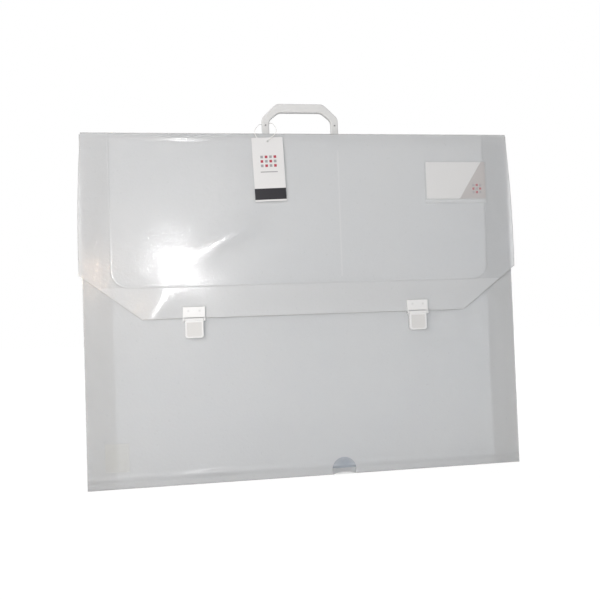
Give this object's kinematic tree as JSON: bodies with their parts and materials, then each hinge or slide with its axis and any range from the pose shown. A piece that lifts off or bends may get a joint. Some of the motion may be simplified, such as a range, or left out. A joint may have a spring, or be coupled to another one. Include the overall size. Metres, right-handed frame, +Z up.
{
  "type": "portfolio carry case",
  "caption": "Large flat carry case of folded frosted sheet with a top handle, a fold-over flap on two hinged clasps, a card pocket and a swing tag.",
  "frame": {"origin": "centre of the case's box at its bottom face, without the tag and its thread", "axes": "+X to the viewer's right across the front, +Y from the front to the back, +Z up towards the handle"},
  "size_m": [0.6484, 0.0434, 0.555],
  "materials": {
    "frosted_sheet": "frosted translucent, fine orange-peel grain, slight gloss",
    "handle_plastic": "moulded, satin",
    "clasp_plastic": "moulded, semi-gloss white",
    "pin_metal": "plain steel pin",
    "clear_film": "clear, glossy",
    "card": "coated white card",
    "thread": "clear nylon"
  },
  "bodies": {
    "case": {"back_panel": "frosted_sheet", "bottom_spine": "frosted_sheet", "front_panel": "frosted_sheet", "left_side_wall": "frosted_sheet", "right_side_wall": "frosted_sheet", "left_catch": "clasp_plastic", "left_catch_backing": "clasp_plastic", "right_catch": "clasp_plastic", "right_catch_backing": "clasp_plastic", "clear_sticker": "clear_film"},
    "lid": {"top_spine": "frosted_sheet", "spine_doubler": "frosted_sheet", "tag_thread": "thread", "thread_lock": "thread"},
    "flap": {"flap": "frosted_sheet", "left_clasp_plate": "clasp_plastic", "left_clasp_backing": "clasp_plastic", "left_hinge_pin": "pin_metal", "right_clasp_plate": "clasp_plastic", "right_clasp_backing": "clasp_plastic", "right_hinge_pin": "pin_metal", "card_pocket": "clear_film", "name_card": "card"},
    "handle": {"handle": "handle_plastic", "handle_stop_pins": "pin_metal"},
    "left_lever": {"left_lever": "clasp_plastic"},
    "right_lever": {"right_lever": "clasp_plastic"},
    "swing_tag": {"swing_tag": "card"}
  },
  "joints": [
    {"name": "lid_hinge", "type": "hinge", "parent": "case", "child": "lid", "pos_m": [0, 0.0212, 0.50455], "axis": [-1, 0, 0], "range_deg": [0, 180]},
    {"name": "flap_hinge", "type": "hinge", "parent": "lid", "child": "flap", "pos_m": [0, -0.017, 0.50455], "axis": [-1, 0, 0], "range_deg": [0, 135], "deforming": ["tag_thread"]},
    {"name": "handle_slide", "type": "slide", "parent": "lid", "child": "handle", "axis": [0, 0, 1], "range_m": [-0.0155, 0]},
    {"name": "left_lever_hinge", "type": "hinge", "parent": "flap", "child": "left_lever", "pos_m": [-0.166, -0.01905, 0.2349], "axis": [-1, 0, 0], "range_deg": [0, 110]},
    {"name": "right_lever_hinge", "type": "hinge", "parent": "flap", "child": "right_lever", "pos_m": [0.166, -0.01905, 0.2349], "axis": [-1, 0, 0], "range_deg": [0, 110]},
    {"name": "tag_swing", "type": "hinge", "parent": "flap", "child": "swing_tag", "pos_m": [-0.0513, -0.0184, 0.5003], "axis": [-1, 0, 0], "range_deg": [0, 45]}
  ]
}
